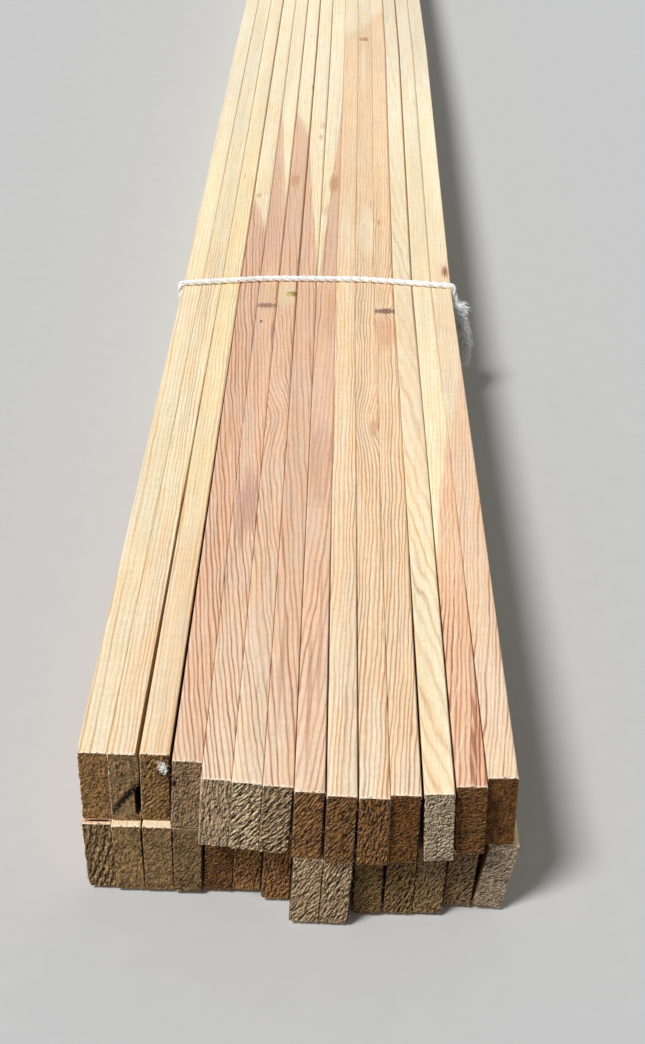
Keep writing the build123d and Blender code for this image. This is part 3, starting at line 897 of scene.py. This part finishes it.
def draw_in(node, points, tested):
    """Moves the points that lie off the solid, where a piece is torn out, in to it. Gives how far, in mm."""
    surface = BVHTree.FromPolygons([v.co[:] for v in node.data.vertices],
                                   [tuple(p.vertices) for p in node.data.polygons])
    torn = np.zeros(len(points))
    for k in tested:
        place, normal, _, away = surface.find_nearest(points[k])
        if away > TORN_OFF and (Vector(points[k]) - place).dot(normal) > 0:
            points[k] = place
            torn[k] = away / MM
    return torn


def close_seam(name, look, sections, rows, outline, points):
    """Draws the top's right edge across the seam beside it, farther along from the near end."""
    for r, row in enumerate(rows):
        wider = look.closed * room(name, row) * min(max((row - rows[0]) / 0.14 - 0.8, 0), 1)
        right = section_at(sections, row)[1]
        for k, (i, j) in enumerate(outline):
            if i == CELLS_ACROSS:
                points[r * len(outline) + k][[0, 2]] += right * wider * j / CELLS_UP


def side_faces(rows, outline, at_ring):
    """The planed faces, and their place on the map: a row of it for each segment of the strip's length."""
    around = len(outline)
    faces, uvs = [], []
    length, girth = rows[-1] - rows[0], 2 * (THICKNESS + WIDTH) * MM
    steps = np.linalg.norm(np.diff(at_ring, axis=0, append=at_ring[:1]), axis=1)
    arc = np.concatenate(([0], np.cumsum(steps)))
    for r in range(len(rows) - 1):
        segment = min(int((rows[r] - rows[0] + 1e-6) / length * SEGMENTS), SEGMENTS - 1)
        ends = [((row - rows[0]) * SEGMENTS / length - segment) * 0.98 + 0.01 for row in rows[r: r + 2]]
        for k in range(around):
            n = (k + 1) % around
            low, high = r * around, (r + 1) * around
            faces.append((low + k, low + n, high + n, high + k))
            v = [(segment + 0.02 + 0.94 * a / girth / 1.02) / (SEGMENTS + 1) for a in (arc[k], arc[k + 1])]
            uvs += [(ends[0], v[0]), (ends[0], v[1]), (ends[1], v[1]), (ends[1], v[0])]
    return faces, uvs


def end_faces(rows, outline, grid):
    """The sawn faces, and their place on the map: the two ends beside each other, above the sides."""
    corner_of = {cell: k for k, cell in enumerate(outline)}
    inside = {cell: k for k, cell in enumerate(grid)}
    faces, uvs = [], []
    for start, ring_row, facing in end_starts(len(rows), len(outline), len(grid)):
        for i in range(CELLS_ACROSS):
            for j in range(CELLS_UP):
                cells = [(i, j), (i + 1, j), (i + 1, j + 1), (i, j + 1)]
                if facing > 0:
                    cells.reverse()
                faces.append([start + inside[cell] if cell in inside
                              else ring_row * len(outline) + corner_of[cell] for cell in cells])
                for a, b in cells:
                    column = 0.01 + b / CELLS_UP * 0.48 + (0.5 if facing > 0 else 0)
                    uvs.append((column, (SEGMENTS + 0.04 + a / CELLS_ACROSS * 0.9) / (SEGMENTS + 1)))
    return faces, uvs


def strip_mesh(name, node, look):
    """One strip's planed faces and sawn ends, with each point's place in the log."""
    sections = stations(node)
    rows = rows_along(sections)
    outline = outline_cells()
    around = len(outline)
    grid = [(i, j) for j in range(1, CELLS_UP) for i in range(1, CELLS_ACROSS)]
    at_ring = np.array([section_point(*cell) for cell in outline]) * MM
    at_grid = np.array([section_point(*cell) for cell in grid]) * MM

    def placed(local, along):
        middle, right, up = section_at(sections, along)
        flat = middle + local[:, :1] * right + local[:, 1:] * up
        return np.column_stack((flat[:, 0], np.full(len(flat), along), flat[:, 1]))

    points = [placed(at_ring, row) for row in rows]
    points += [placed(at_grid, rows[0]), placed(at_grid, rows[-1])]
    points = np.vstack(points)
    sawn, depth = end_attributes(outline, grid, sections, rows, points)
    near_rows = sum(row < rows[0] + TORN_REACH for row in rows)
    near_cap = len(rows) * around
    torn = draw_in(node, points, [*range(near_rows * around), *range(near_cap, near_cap + len(grid))])
    if look.closed:
        close_seam(name, look, sections, rows, outline, points)

    planed, planed_uvs = side_faces(rows, outline, at_ring)
    ends, end_uvs = end_faces(rows, outline, grid)
    mesh = bpy.data.meshes.new(name)
    mesh.from_pydata(points.tolist(), [], planed + ends)
    mesh.polygons.foreach_set("material_index", [0] * len(planed) + [1] * len(ends))
    mesh.uv_layers.new(name="OFBake").data.foreach_set("uv", np.ravel(planed_uvs + end_uvs))

    log = np.empty_like(points)
    pith = pith_offset(look)
    for k, point in enumerate(points):
        middle, right, up = section_at(sections, point[1])
        flat = point[[0, 2]] - middle
        log[k] = (flat @ right + pith[0], point[1] - rows[0], flat @ up + pith[1])
    add_attribute(mesh, "log", "FLOAT_VECTOR", "vector", log)
    add_attribute(mesh, "sawn", "FLOAT_VECTOR", "vector", sawn)
    add_attribute(mesh, "rim", "FLOAT", "value", depth)
    add_attribute(mesh, "torn", "FLOAT", "value", torn)
    fuzz = np.where(np.abs(sawn[:, 1]) > 0, np.exp(-depth / 0.35) + 0.03, 0)
    fuzz[points[:, 2] < BARE_BELOW] = 0
    add_attribute(mesh, "fuzz", "FLOAT", "value", fuzz)
    return mesh, rows[0]


def add_attribute(mesh, name, kind, field, values):
    mesh.attributes.new(name, kind, "POINT").data.foreach_set(field, np.ravel(values))


# Geometry node trees

def geometry_tree(name, *sizes):
    """A new tree of geometry nodes with a geometry in and out and named inputs of (name, kind, default)."""
    tree = bpy.data.node_groups.new(name, "GeometryNodeTree")
    tree.interface.new_socket("Geometry", in_out="INPUT", socket_type="NodeSocketGeometry")
    for label, kind, default in sizes:
        socket = tree.interface.new_socket(label, in_out="INPUT", socket_type=f"NodeSocket{kind}")
        if default is not None:
            socket.default_value = default
    tree.interface.new_socket("Geometry", in_out="OUTPUT", socket_type="NodeSocketGeometry")
    graph = Graph(tree)
    return tree, graph, graph.add("NodeGroupInput").outputs


def finish_tree(graph, geometry, paint=None):
    """Ends a tree in realized instances and, where one is given, a material."""
    geometry = graph.add("GeometryNodeRealizeInstances", {0: geometry}).outputs[0]
    if paint is not None:
        geometry = graph.add("GeometryNodeSetMaterial", {"Geometry": geometry, "Material": paint}).outputs[0]
    graph.add("NodeGroupOutput", {0: geometry})


def run_tree(name, mesh, tree, **values):
    """Runs a tree on a mesh and returns a new plain object of the result."""
    source = new_object(f"{name}_source", mesh)
    modifier = source.modifiers.new(tree.name, "NODES")
    modifier.node_group = tree
    sockets = {item.name: item.identifier for item in tree.interface.items_tree if item.in_out == "INPUT"}
    for label, value in values.items():
        modifier[sockets[label.replace("_", " ")]] = value
    evaluated = source.evaluated_get(bpy.context.evaluated_depsgraph_get())
    result = bpy.data.meshes.new_from_object(evaluated)
    source.modifiers.remove(modifier)
    bpy.data.objects.remove(source)
    result.name = name
    return new_object(name, result)


def sawn_relief_tree():
    """Roughens the sawn ends: ridges along the rings, marks of the saw and torn pits, all cut inwards."""
    tree, g, given = geometry_tree(
        "Sawn relief", ("Ring spacing", "Float", 0.0025), ("Ridge depth", "Float", 0.0003),
        ("Pit depth", "Float", 0.0003), ("Saw angle", "Float", 0.9), ("Seed", "Float", 0.0),
    )
    log = g.stored("log", "FLOAT_VECTOR")
    sawn = g.stored("sawn", "FLOAT_VECTOR")
    x, run, z = g.parts(log)
    moved = g.moved(log, g.alike(given["Seed"]))
    across = g.vector("LENGTH", g.xyz(x, 0.0, z))
    shake = g.speckle(moved, 260.0)
    phase = g.over(g.madd(shake, 0.0040, across), given["Ring spacing"])
    wave = g.math("SINE", g.times(phase, 2 * pi))
    patch = g.speckle(moved, 330.0, 1.0, 0.5)
    ridges = g.times(g.smooth(wave, -0.4, 0.7), g.smooth(patch, 0.36, 0.60, 0.15, 1.0))
    saw = g.noise(g.turned(moved, given["Saw angle"]), (1.0, 1.0, 0.18), 900.0, 1.0, 0.5)
    pits = g.speckle(moved, 620.0)
    holes = g.smooth(g.madd(saw, 0.6, g.times(pits, 0.6)), 0.60, 0.76)
    total = g.math("MAXIMUM", given["Ridge depth"], given["Pit depth"])
    cut = g.madd(ridges, given["Ridge depth"], g.times(holes, given["Pit depth"]))
    height = g.minus(1.0, g.over(cut, total))
    shape = g.store(given["Geometry"], "relief", height)
    rim = g.stored("rim")
    chips = g.smooth(g.speckle(moved, 560.0), 0.35, 0.65, 0.0, 0.00055)
    cut = g.madd(g.smooth(rim, 0.0, 0.5, 1.0, 0.0), chips, cut)
    finish_tree(g, g.shift(shape, g.scaled(sawn, g.times(cut, -1.0))))
    return tree


def laid_twine_tree():
    """Lays strands round a route: its corners are rounded and each strand winds about it as a rope's does."""
    tree, g, given = geometry_tree(
        "Laid twine", ("Strands", "Int", 3), ("Strand radius", "Float", 0.00115),
        ("Winding radius", "Float", 0.00115), ("Lay length", "Float", 0.014),
        ("Opening", "Float", 0.0), ("Pressed share", "Float", 0.43), ("Floor line", "Float", 0.0013),
        ("Seed", "Float", 0.0), ("Material", "Material", None),
    )
    curve = g.add("GeometryNodeMeshToCurve", {"Mesh": given["Geometry"]}).outputs[0]
    turn = g.stored("turn")
    curve = g.add("GeometryNodeFilletCurve", {"Curve": curve, "Count": 7, "Radius": turn,
                                              "Limit Radius": True}, mode="POLY").outputs[0]
    curve = g.add("GeometryNodeResampleCurve", {"Curve": curve, "Length": 0.0009}, mode="LENGTH").outputs[0]
    copies = g.add("GeometryNodeDuplicateElements", {"Geometry": curve, "Amount": given["Strands"]},
                   domain="SPLINE")
    share = g.add("GeometryNodeSplineParameter").outputs
    normal = g.add("GeometryNodeInputNormal").outputs[0]
    tangent = g.add("GeometryNodeInputTangent").outputs[0]
    side = g.vector("CROSS_PRODUCT", tangent, normal)
    phase = g.over(copies.outputs["Duplicate Index"], given["Strands"])
    turns = g.plus(g.over(share["Length"], given["Lay length"]), phase)
    angle = g.times(turns, 2 * pi)
    open_up = g.madd(g.math("POWER", share["Factor"], 2.0), given["Opening"], 1.0)
    reach = g.times(given["Winding radius"], open_up)
    offset = g.moved(g.scaled(normal, g.times(g.math("COSINE", angle), reach)),
                     g.scaled(side, g.times(g.math("SINE", angle), reach)))
    laid = g.store(g.shift(copies.outputs[0], offset), "lay", share["Length"])
    profile = g.add("GeometryNodeCurvePrimitiveCircle", {"Resolution": 8, "Radius": given["Strand radius"]})
    around = g.add("GeometryNodeInputPosition").outputs[0]
    profile = g.store(profile.outputs[0], "round", around, "FLOAT_VECTOR")
    tube = g.add("GeometryNodeCurveToMesh", {"Curve": laid, "Profile Curve": profile,
                                             "Fill Caps": True}).outputs[0]
    press = g.stored("press")
    spot = g.add("GeometryNodeInputPosition").outputs[0]
    height = g.minus(g.parts(spot)[2], given["Floor line"])
    squeeze = g.times(g.times(height, press), given["Pressed share"])
    tube = g.shift(tube, g.xyz(0.0, 0.0, g.times(squeeze, -1.0)))
    uneven = g.speckle(g.moved(spot, g.xyz(given["Seed"], 0.0, 0.0)), 700.0, 2.0, 0.5)
    face = g.add("GeometryNodeInputNormal").outputs[0]
    tube = g.shift(tube, g.scaled(face, g.times(g.minus(uneven, 0.55), 0.0002)))
    smooth = g.add("GeometryNodeSetShadeSmooth", {0: tube}).outputs[0]
    finish_tree(g, smooth, given["Material"])
    return tree


def loose_fibre_tree():
    """Scatters short bent fibres over a surface, so that they stand out of it at a slant."""
    tree, g, given = geometry_tree(
        "Loose fibres", ("Density", "Float", 60000.0), ("Length", "Float", 0.004),
        ("Thickness", "Float", 0.00012), ("Slant", "Float", 0.9), ("Hang", "Float", 0.3),
        ("Seed", "Int", 0), ("Material", "Material", None),
    )
    weight = g.stored("fuzz")
    density = g.times(weight, given["Density"])
    spread = g.add("GeometryNodeDistributePointsOnFaces",
                   {"Mesh": given["Geometry"], "Density": density, "Seed": given["Seed"]},
                   distribute_method="RANDOM")
    arc = g.add("GeometryNodeCurvePrimitiveBezierSegment", {
        "Resolution": 2, "Start": (0, 0, 0), "Start Handle": (0.1, 0, 0.4),
        "End Handle": (0.35, 0.1, 0.6), "End": (0.65, 0.1, 0.8),
    }).outputs[0]
    thin = g.add("GeometryNodeCurvePrimitiveCircle", {"Resolution": 3, "Radius": 0.5}).outputs[0]
    ratio = g.over(given["Thickness"], given["Length"])
    thin = g.add("GeometryNodeTransform", {"Geometry": thin, "Scale": g.alike(ratio)}).outputs[0]
    fibre = g.add("GeometryNodeCurveToMesh", {"Curve": arc, "Profile Curve": thin,
                                              "Fill Caps": True}).outputs[0]
    lean = g.add("FunctionNodeRandomValue", {0: (-1, -1, -1), 1: (1, 1, 1), "Seed": given["Seed"]},
                 data_type="FLOAT_VECTOR").outputs[0]
    outward = g.moved(spread.outputs["Normal"], g.scaled(lean, given["Slant"]))
    outward = g.moved(outward, g.xyz(0.0, 0.0, g.times(given["Hang"], -1.0)))
    turned = g.add("FunctionNodeAlignEulerToVector", {"Vector": outward}, axis="Z").outputs[0]
    size = g.add("FunctionNodeRandomValue", {2: 0.35, 3: 1.0, "Seed": 7}, data_type="FLOAT").outputs[1]
    placed = g.add("GeometryNodeInstanceOnPoints", {
        "Points": spread.outputs["Points"], "Instance": fibre, "Rotation": turned,
        "Scale": g.scaled(g.alike(given["Length"]), size),
    }).outputs[0]
    finish_tree(g, placed, given["Material"])
    return tree


# Sizes and colours that can be changed

class TwineSizes(bpy.types.PropertyGroup):
    """The twine and how it is laid."""

    diameter: FloatProperty(name="Diameter", description="Thickness of the twine", default=0.0046,
                            unit="LENGTH")
    lay: FloatProperty(name="Lay", description="Length of one turn of a strand", default=0.021,
                       unit="LENGTH")
    strands: IntProperty(name="Strands", description="How many strands the twine has", default=3)
    colour: FloatVectorProperty(name="Colour", description="Colour of the twine", subtype="COLOR",
                                default=(0.97, 0.97, 0.95))


class StageLook(bpy.types.PropertyGroup):
    """The floor, the light and the camera."""

    floor: FloatVectorProperty(name="Floor", description="Colour of the floor", subtype="COLOR",
                               default=(0.52, 0.52, 0.515))
    key: FloatProperty(name="Key", description="Strength of the light from the upper left", default=3.10)
    sky: FloatProperty(name="Sky", description="Strength of the light from all around", default=0.25)
    camera: FloatVectorProperty(name="Camera", description="Where the camera stands", subtype="XYZ",
                                unit="LENGTH", default=(0.0226, -1.7590, 0.6129))
    dip: FloatProperty(name="Dip", description="How far the camera looks down", subtype="ANGLE",
                       default=radians(33.53))
    turn: FloatProperty(name="Turn", description="How far the camera turns to the left", subtype="ANGLE",
                        default=radians(1.091))
    roll: FloatProperty(name="Roll", description="How far the camera leans over", subtype="ANGLE",
                        default=radians(0.167))
    lens: FloatProperty(name="Lens", description="Focal length for a 36 mm frame, in millimetres",
                        default=53.25)


def show(piece, replaced):
    """Lets a finished piece ride on the body and stand in for the nodes that it hides."""
    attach(piece, BODY)
    if replaced:
        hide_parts(*replaced)
    return piece


class MakeStrips:
    """What the makers of the two layers share."""

    layer = ""

    def execute(self, context):
        tree = bpy.data.node_groups.get("Sawn relief") or sawn_relief_tree()
        whole = bmesh.new()
        for number, name in enumerate(n for n in STRIPS if self.layer in n):
            look = LOOKS[name]
            mesh, near_y = strip_mesh(name, frame["nodes"][name], look)
            mesh.materials.append(planed_pine(name, look, near_y))
            mesh.materials.append(sawn_end(name, look, near_y))
            piece = run_tree(
                name.replace("strip_", "pine_"), mesh, tree, Ring_spacing=look.rings * MM,
                Ridge_depth=look.ridge * MM, Pit_depth=look.pits * MM, Saw_angle=0.7 + 0.1 * (number % 5),
                Seed=0.37 * number,
            )
            shape = bmesh.new()
            shape.from_mesh(piece.data)
            bmesh.ops.remove_doubles(shape, verts=shape.verts, dist=0.02 * MM)
            shape.to_mesh(piece.data)
            shape.free()
            for face in piece.data.polygons:
                face.use_smooth = True
            piece.data.set_sharp_from_angle(angle=radians(50))
            whole.from_mesh(piece.data)
            show(piece, [name])
        layer = bpy.data.meshes.new(f"{self.layer}_ends")
        whole.to_mesh(layer)
        whole.free()
        fibres = run_tree(
            f"{self.layer}_end_fibres", layer, loose_fibre_tree(), Density=9.0e5, Length=0.0016,
            Thickness=0.0002, Slant=1.1, Hang=-0.1, Seed=3,
            Material=fibre_material("torn_fibre", (0.55, 0.40, 0.24)),
        )
        show(fibres, [])
        return {"FINISHED"}


class BUNDLE_OT_upper_strips(MakeStrips, bpy.types.Operator):
    """Make the fourteen strips of the upper layer"""

    bl_idname = "bundle.upper_strips"
    bl_label = "Upper strips"
    layer = "upper"


class BUNDLE_OT_lower_strips(MakeStrips, bpy.types.Operator):
    """Make the fourteen strips of the lower layer"""

    bl_idname = "bundle.lower_strips"
    bl_label = "Lower strips"
    layer = "lower"


def twine_material(colour):
    """White twine: each strand of many fine yarns that cross it at a slant."""
    made, g, shader = material("white_twine")
    lay = g.painted("lay", "Fac")
    around = g.painted("round")
    x, y, _ = g.parts(around)
    angle = g.math("ARCTAN2", y, x)
    wind = g.madd(lay, 420.0, angle)
    yarn = g.math("SINE", g.times(wind, 5.0))
    spot = g.add("ShaderNodeTexCoord").outputs["Object"]
    soil = g.speckle(spot, 240.0, 3.0)
    shade = g.madd(yarn, 0.07, g.smooth(soil, 0.25, 0.7, 0.84, 1.04))
    g.feed(shader.inputs["Base Color"], g.scaled(g.xyz(*colour), shade))
    shader.inputs["Roughness"].default_value = 0.75
    shader.inputs["Sheen Weight"].default_value = 0.25
    g.bump(shader, 0.6, 0.15 * MM, yarn)
    return made


# Three round strands that touch fill a circle with this many times one strand's radius
STRAND_SHARE = 2.155

# The tie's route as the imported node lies. Its middle line keeps SIDE_OFF and TOP_OFF off the strips' sides
# and the twine's highest point, and is pressed flat at FLOOR_LINE
TIE_PLACE = 0.638
MIDDLE = -3.85 * MM
TIED_HALF = 106.0 * MM
SIDE_OFF = 2.1 * MM
TOP_OFF = 2.3 * MM
FLOOR_LINE = 1.3 * MM
TIE_BOW = 11 * MM
BOW_SHARE = 0.35
KNOT_HEIGHT = 76.75 * MM
KNOT_LEAD = 13 * MM
KNOT_TURN = 4.2 * MM
KNOT_RADIUS = 3.6 * MM
KNOT_TILT = 24


def tie_route(tie, radius):
    """The points a tie runs through, how far each corner is rounded and where the bundle presses on it."""
    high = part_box(f"{tie}_twine")[1]
    top, under = high.z - TOP_OFF, FLOOR_LINE
    along = -TIE_PLACE if tie == "front" else TIE_PLACE
    knot = Vector((high.x - KNOT_RADIUS - radius, along, KNOT_HEIGHT))
    right = MIDDLE + TIED_HALF + SIDE_OFF
    left = MIDDLE - TIED_HALF - SIDE_OFF
    half = KNOT_TURN / 2
    bow = BOW_SHARE * TIED_HALF
    return [
        (knot + Vector((0, 0, half)), 0, 0),
        ((right, along, knot.z + KNOT_LEAD), 6.5, 0),
        ((right, along, top), 3.0, 0),
        ((MIDDLE + bow, along + TIE_BOW, top), 120, 0),
        ((MIDDLE - bow, along + TIE_BOW, top), 120, 0),
        ((left, along, top), 3.0, 0),
        ((left, along, 12 * MM), 0, 0),
        ((left, along, under), 3.0, 1),
        ((right, along, under), 3.0, 1),
        ((right, along, 12 * MM), 0, 0),
        ((right, along, knot.z - KNOT_LEAD), 6.5, 0),
        (knot - Vector((0, 0, half)), 0, 0),
    ], knot


def route_mesh(name, routes):
    """A mesh of bare lines for a tree to follow, each route a list of (point, rounding, pressed)."""
    points, edges = [], []
    for route in routes:
        start = len(points)
        points += route
        edges += [(start + k, start + k + 1) for k in range(len(route) - 1)]
    mesh = bpy.data.meshes.new(name)
    mesh.from_pydata([tuple(p[0]) for p in points], edges, [])
    add_attribute(mesh, "turn", "FLOAT", "value", [p[1] * MM for p in points])
    add_attribute(mesh, "press", "FLOAT", "value", [float(p[2]) for p in points])
    return mesh


def ring_route(middle, tilt):
    """One turn of twine about the knot."""
    spin = Matrix.Rotation(radians(90), 3, "Z") @ Matrix.Rotation(radians(tilt), 3, "X")
    steps = 20
    return [
        (middle + spin @ Vector((KNOT_RADIUS * cos(a), KNOT_RADIUS * sin(a), 0)), 0, 0)
        for a in (2 * pi * k / steps for k in range(steps + 1))
    ]


def fuzz_weights(mesh, knot, reach, base):
    """Gives each point how thickly fibres stand on it: most at the knot and little elsewhere."""
    away = np.array([(v.co - knot).length for v in mesh.vertices])
    weights = base + (1 - base) * np.clip(1.6 - away / reach, 0, 1)
    weights[[v.co.z < BARE_BELOW for v in mesh.vertices]] = 0
    add_attribute(mesh, "fuzz", "FLOAT", "value", weights)


class BUNDLE_OT_ties(bpy.types.Operator):
    """Make the two ties with their knots"""

    bl_idname = "bundle.ties"
    bl_label = "Ties"

    def execute(self, context):
        sizes = context.scene.bundle_twine
        paint = twine_material(sizes.colour)
        # The knot's fluff is tinted blue: a painted tint of the sky's light.
        fluff = fibre_material("knot_fluff", (0.91, 0.98, 1.0))
        twine = laid_twine_tree()
        fibres = loose_fibre_tree()
        radius = sizes.diameter / 2
        strand = radius / STRAND_SHARE
        for seed, tie in enumerate(TIES):
            route, knot = tie_route(tie, radius)
            half = Vector((0, 0, KNOT_TURN / 2))
            routes = [route] + [ring_route(knot + s * half, s * KNOT_TILT) for s in (-1, 1)]
            piece = run_tree(
                f"{tie}_tie", route_mesh(f"{tie}_route", routes), twine, Strands=sizes.strands,
                Strand_radius=strand * 1.2, Winding_radius=strand * 1.1, Lay_length=sizes.lay,
                Seed=float(seed), Material=paint,
            )
            fuzz_weights(piece.data, knot - Vector((0, 0, 8.5 * MM)), 0.0075, 0.0)
            fuzz = run_tree(f"{tie}_tie_fuzz", piece.data.copy(), fibres, Density=7000000.0, Length=0.0058,
                            Thickness=0.00042, Slant=1.2, Hang=0.9, Seed=seed, Material=fluff)
            show(piece, [f"{tie}_twine"])
            show(fuzz, [])
        return {"FINISHED"}


# The loose tails, from the middle of the knot: back, out and down, in millimetres

TAIL_ROUTES = {
    "long": ((-2.6, 3.0, 3.5), (-4.0, 6.5, 15.5), (-6.0, 7.8, 30.5), (-5.0, 6.0, 44.5)),
    "short": ((2.6, 3.0, 3.0), (5.0, 6.0, 12.5), (7.5, 8.5, 24.5), (8.5, 9.5, 36.0)),
}


def smooth_line(name, points):
    """The smooth line with these control points, as points read from its spline."""
    curve = bpy.data.curves.new(name, "CURVE")
    curve.dimensions = "3D"
    curve.resolution_u = 12
    spline = curve.splines.new("NURBS")
    spline.points.add(len(points) - 1)
    for point, place in zip(spline.points, points):
        point.co = (*place, 1)
    spline.order_u = 3
    spline.use_endpoint_u = True
    holder = new_object(name, curve)
    evaluated = holder.evaluated_get(bpy.context.evaluated_depsgraph_get())
    mesh = bpy.data.meshes.new_from_object(evaluated)
    line = [v.co.copy() for v in mesh.vertices]
    bpy.data.objects.remove(holder)
    return line


class BUNDLE_OT_tails(bpy.types.Operator):
    """Make the loose tails that hang from the knots, with their frayed fibres"""

    bl_idname = "bundle.tails"
    bl_label = "Twine tails"

    def execute(self, context):
        sizes = context.scene.bundle_twine
        radius = sizes.diameter / 2
        strand = radius / STRAND_SHARE
        paint = twine_material(sizes.colour)
        fluff = fibre_material("tail_fluff", (1.0, 1.0, 1.0))
        twine, fibres = laid_twine_tree(), loose_fibre_tree()
        for seed, tie in enumerate(TIES):
            knot = tie_route(tie, radius)[1]
            for tail, offsets in TAIL_ROUTES.items():
                points = [knot + Vector((out, back, -down)) * MM for back, out, down in offsets]
                line = smooth_line(f"{tie}_{tail}_line", points)
                route = [(p, 0, 0) for p in line]
                piece = run_tree(
                    f"{tie}_tail_{tail}", route_mesh(f"{tie}_{tail}_route", [route]), twine,
                    Strands=sizes.strands, Strand_radius=strand * 0.95, Winding_radius=strand,
                    Lay_length=sizes.lay * 1.1, Opening=1.5, Seed=float(seed) + 5, Material=paint,
                )
                fuzz_weights(piece.data, line[-1], 0.030, 0.7)
                fuzz = run_tree(f"{tie}_tail_{tail}_fray", piece.data.copy(), fibres, Density=4600000.0,
                                Length=0.0050, Thickness=0.00048, Hang=1.5, Seed=seed + 11, Material=fluff)
                show(piece, [f"{tie}_twine_tail_{tail}"])
                show(fuzz, [])
        return {"FINISHED"}


# How far the floor reaches, where the key light shines to and how widely it is spread
FLOOR_REACH = 9.0
KEY_DIRECTION = (1.15, 0.95, -2.5)
KEY_SPREAD = radians(16)


class BUNDLE_OT_stage(bpy.types.Operator):
    """Make the floor, the light and the camera"""

    bl_idname = "bundle.stage"
    bl_label = "Stage"

    def execute(self, context):
        look = context.scene.bundle_stage
        scene = context.scene
        scene.view_settings.view_transform = "Standard"

        floor = bpy.data.meshes.new("floor")
        corners = [(x * FLOOR_REACH, y * FLOOR_REACH, 0) for x, y in ((-1, -1), (1, -1), (1, 1), (-1, 1))]
        floor.from_pydata(corners, [], [(0, 1, 2, 3)])
        made, g, shader = material("pale_floor")
        spot = g.add("ShaderNodeTexCoord").outputs["Object"]
        speck = g.speckle(spot, 60.0, 3.0)
        g.feed(shader.inputs["Base Color"],
               g.mix(speck, [c * 0.97 for c in look.floor], [c * 1.03 for c in look.floor]))
        shader.inputs["Roughness"].default_value = 0.9
        floor.materials.append(made)
        ground = new_object("floor", floor)

        world = bpy.data.worlds.new("soft_daylight")
        world.use_nodes = True
        world.node_tree.nodes.clear()
        g = Graph(world.node_tree)
        path = g.add("ShaderNodeLightPath").outputs
        seen = g.math("MAXIMUM", path["Is Camera Ray"],
                      g.math("MAXIMUM", path["Is Glossy Ray"], path["Is Transmission Ray"]))
        lit = g.add("ShaderNodeBackground", {"Color": (0.93, 0.96, 1.0, 1), "Strength": look.sky})
        shown = g.add("ShaderNodeBackground", {"Color": (0.86, 0.87, 0.88, 1), "Strength": 1.0})
        both = g.add("ShaderNodeMixShader", {0: seen, 1: lit.outputs[0], 2: shown.outputs[0]})
        g.add("ShaderNodeOutputWorld", {0: both.outputs[0]})
        scene.world = world

        light = bpy.data.lights.new("soft_key", "SUN")
        light.energy = look.key
        light.angle = KEY_SPREAD
        lamp = new_object("soft_key", light)
        lamp.rotation_euler = Vector(KEY_DIRECTION).to_track_quat("-Z", "Y").to_euler()

        view = bpy.data.cameras.new("camera")
        view.lens = look.lens
        view.clip_start = 0.05
        camera = new_object("camera", view)
        turned = Matrix.Rotation(look.turn, 4, "Z") @ Matrix.Rotation(pi / 2 - look.dip, 4, "X")
        camera.matrix_world = (Matrix.Translation(look.camera) @ turned
                               @ Matrix.Rotation(look.roll, 4, "Z"))
        scene.camera = camera
        return {"FINISHED"}


OPERATORS = (
    BUNDLE_OT_stage,
    BUNDLE_OT_tails,
    BUNDLE_OT_ties,
    BUNDLE_OT_upper_strips,
    BUNDLE_OT_lower_strips,
)


class BUNDLE_PT_panel(bpy.types.Panel):
    """The bundle's makers and sizes in the sidebar"""

    bl_idname = "BUNDLE_PT_panel"
    bl_label = "Trim bundle"
    bl_space_type = "VIEW_3D"
    bl_region_type = "UI"
    bl_category = "Trim bundle"

    def draw(self, context):
        for maker in OPERATORS:
            self.layout.operator(maker.bl_idname)
        for group in (context.scene.bundle_twine, context.scene.bundle_stage):
            box = self.layout.box()
            for name in type(group).__annotations__:
                box.prop(group, name)


CLASSES = (TwineSizes, StageLook, *OPERATORS, BUNDLE_PT_panel)


def register():
    for item in CLASSES:
        bpy.utils.register_class(item)
    bpy.types.Scene.bundle_twine = PointerProperty(type=TwineSizes)
    bpy.types.Scene.bundle_stage = PointerProperty(type=StageLook)


def unregister():
    del bpy.types.Scene.bundle_stage
    del bpy.types.Scene.bundle_twine
    for item in reversed(CLASSES):
        bpy.utils.unregister_class(item)


def main():
    """Registers the makers and makes every piece in turn."""
    register()
    bpy.ops.bundle.stage()
    bpy.ops.bundle.tails()
    bpy.ops.bundle.ties()
    bpy.ops.bundle.upper_strips()
    bpy.ops.bundle.lower_strips()


if __name__ == "__main__":
    main()
